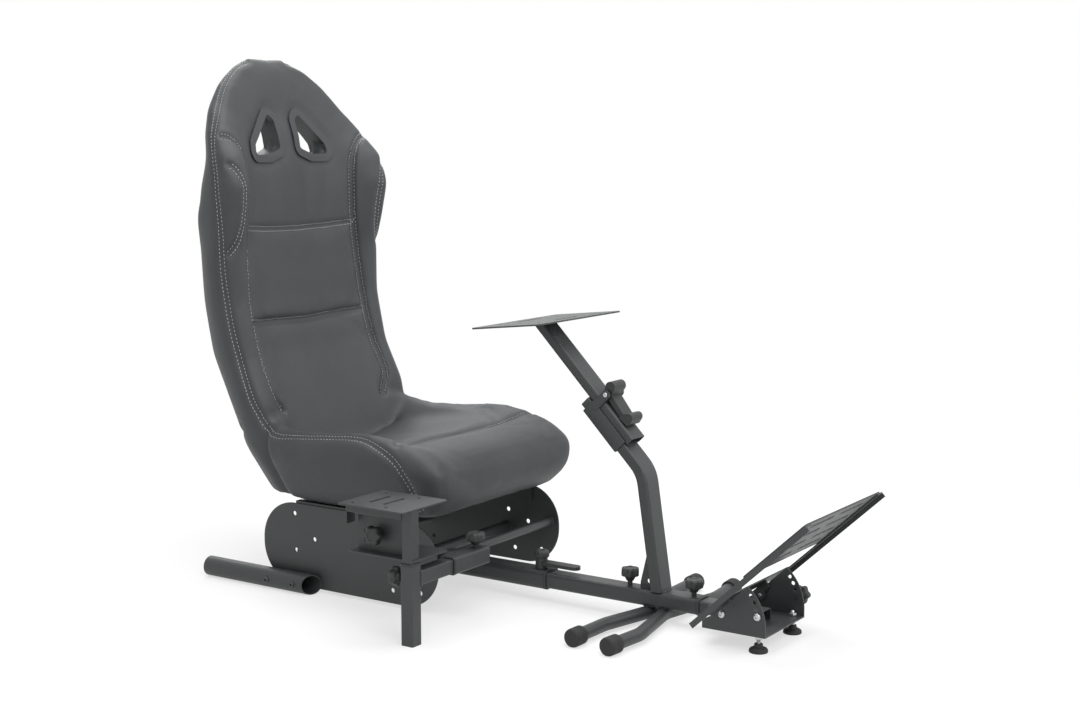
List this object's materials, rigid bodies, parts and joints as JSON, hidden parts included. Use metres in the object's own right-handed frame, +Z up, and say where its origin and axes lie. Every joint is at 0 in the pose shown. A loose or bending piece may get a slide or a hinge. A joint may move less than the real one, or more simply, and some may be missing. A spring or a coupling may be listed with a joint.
{
  "type": "sim racing cockpit",
  "caption": "Sim racing cockpit with a padded bucket seat, sliding beam and wheel post, tilting pedal plate and side shifter stand.",
  "frame": {"origin": "middle of the object's box, on the floor", "axes": "+X forward (the way the driver looks), +Y to the driver's left, +Z up"},
  "size_m": [1.4272, 0.6984, 1.111],
  "materials": {
    "upholstery": "matte",
    "frame_steel": "satin",
    "black_plastic": "matte",
    "black_rubber": "matte",
    "zinc": "satin"
  },
  "bodies": {
    "base": {"right_side_plate": "frame_steel", "left_side_plate": "frame_steel", "right_stabiliser": "frame_steel", "left_stabiliser": "frame_steel", "rear_sleeve": "frame_steel", "rear_cross_tube": "frame_steel", "mid_cross_tube": "frame_steel", "front_cross_tube": "frame_steel", "seat_back": "upholstery", "seat_cushion": "upholstery", "right_seat_rail": "frame_steel", "left_seat_rail": "frame_steel", "right_harness_bezel": "black_plastic", "left_harness_bezel": "black_plastic", "reach_knob": "black_plastic", "reach_lever": "black_plastic", "shifter_sleeve": "frame_steel", "shifter_clamp": "frame_steel", "shifter_sleeve_knob": "black_plastic"},
    "front_frame": {"main_tube": "frame_steel", "rear_leg": "frame_steel", "rear_leg_caps": "black_rubber", "front_leg": "frame_steel", "front_leg_caps": "black_rubber", "tube_knob_rear": "black_plastic", "tube_knob_front": "black_plastic", "wheel_post": "frame_steel", "post_gusset": "frame_steel", "post_clamp": "frame_steel", "post_clamp_lever": "black_plastic"},
    "wheel_column": {"wheel_stem": "frame_steel", "wheel_plate": "frame_steel"},
    "pedal_carriage": {"pedal_rail": "frame_steel", "pedal_tray": "frame_steel", "right_level_foot": "black_rubber", "left_level_foot": "black_rubber", "pivot_bolts": "zinc", "right_tilt_bolt": "zinc", "left_tilt_knob": "black_plastic"},
    "pedal_deck": {"pedal_plate": "frame_steel", "right_pedal_arm": "frame_steel", "left_pedal_arm": "frame_steel", "pedal_hinge": "frame_steel"},
    "shifter_arm": {"shifter_arm_tube": "frame_steel", "shifter_leg": "frame_steel", "shifter_leg_knob": "black_plastic"},
    "shifter_column": {"shifter_stem": "frame_steel", "shifter_shelf": "frame_steel", "shifter_plate": "frame_steel", "shifter_rail": "frame_steel", "shifter_web": "frame_steel", "shifter_web_knob": "black_plastic"}
  },
  "joints": [
    {"name": "reach_slide", "type": "slide", "parent": "base", "child": "front_frame", "axis": [1, 0, 0], "range_m": [-0.07, 0.12]},
    {"name": "wheel_slide", "type": "slide", "parent": "front_frame", "child": "wheel_column", "axis": [-0.6992, 0, 0.7149], "range_m": [-0.03, 0.07]},
    {"name": "pedal_slide", "type": "slide", "parent": "front_frame", "child": "pedal_carriage", "axis": [1, 0, 0], "range_m": [-0.03, 0.1]},
    {"name": "pedal_tilt", "type": "hinge", "parent": "pedal_carriage", "child": "pedal_deck", "pos_m": [0.50135, 0.08583, 0.063], "axis": [0, -1, 0], "range_deg": [0, 30]},
    {"name": "shifter_reach", "type": "slide", "parent": "base", "child": "shifter_arm", "axis": [0, -1, 0], "range_m": [-0.02, 0.06]},
    {"name": "shifter_height", "type": "slide", "parent": "shifter_arm", "child": "shifter_column", "axis": [0, 0, 1], "range_m": [0, 0.08]}
  ]
}
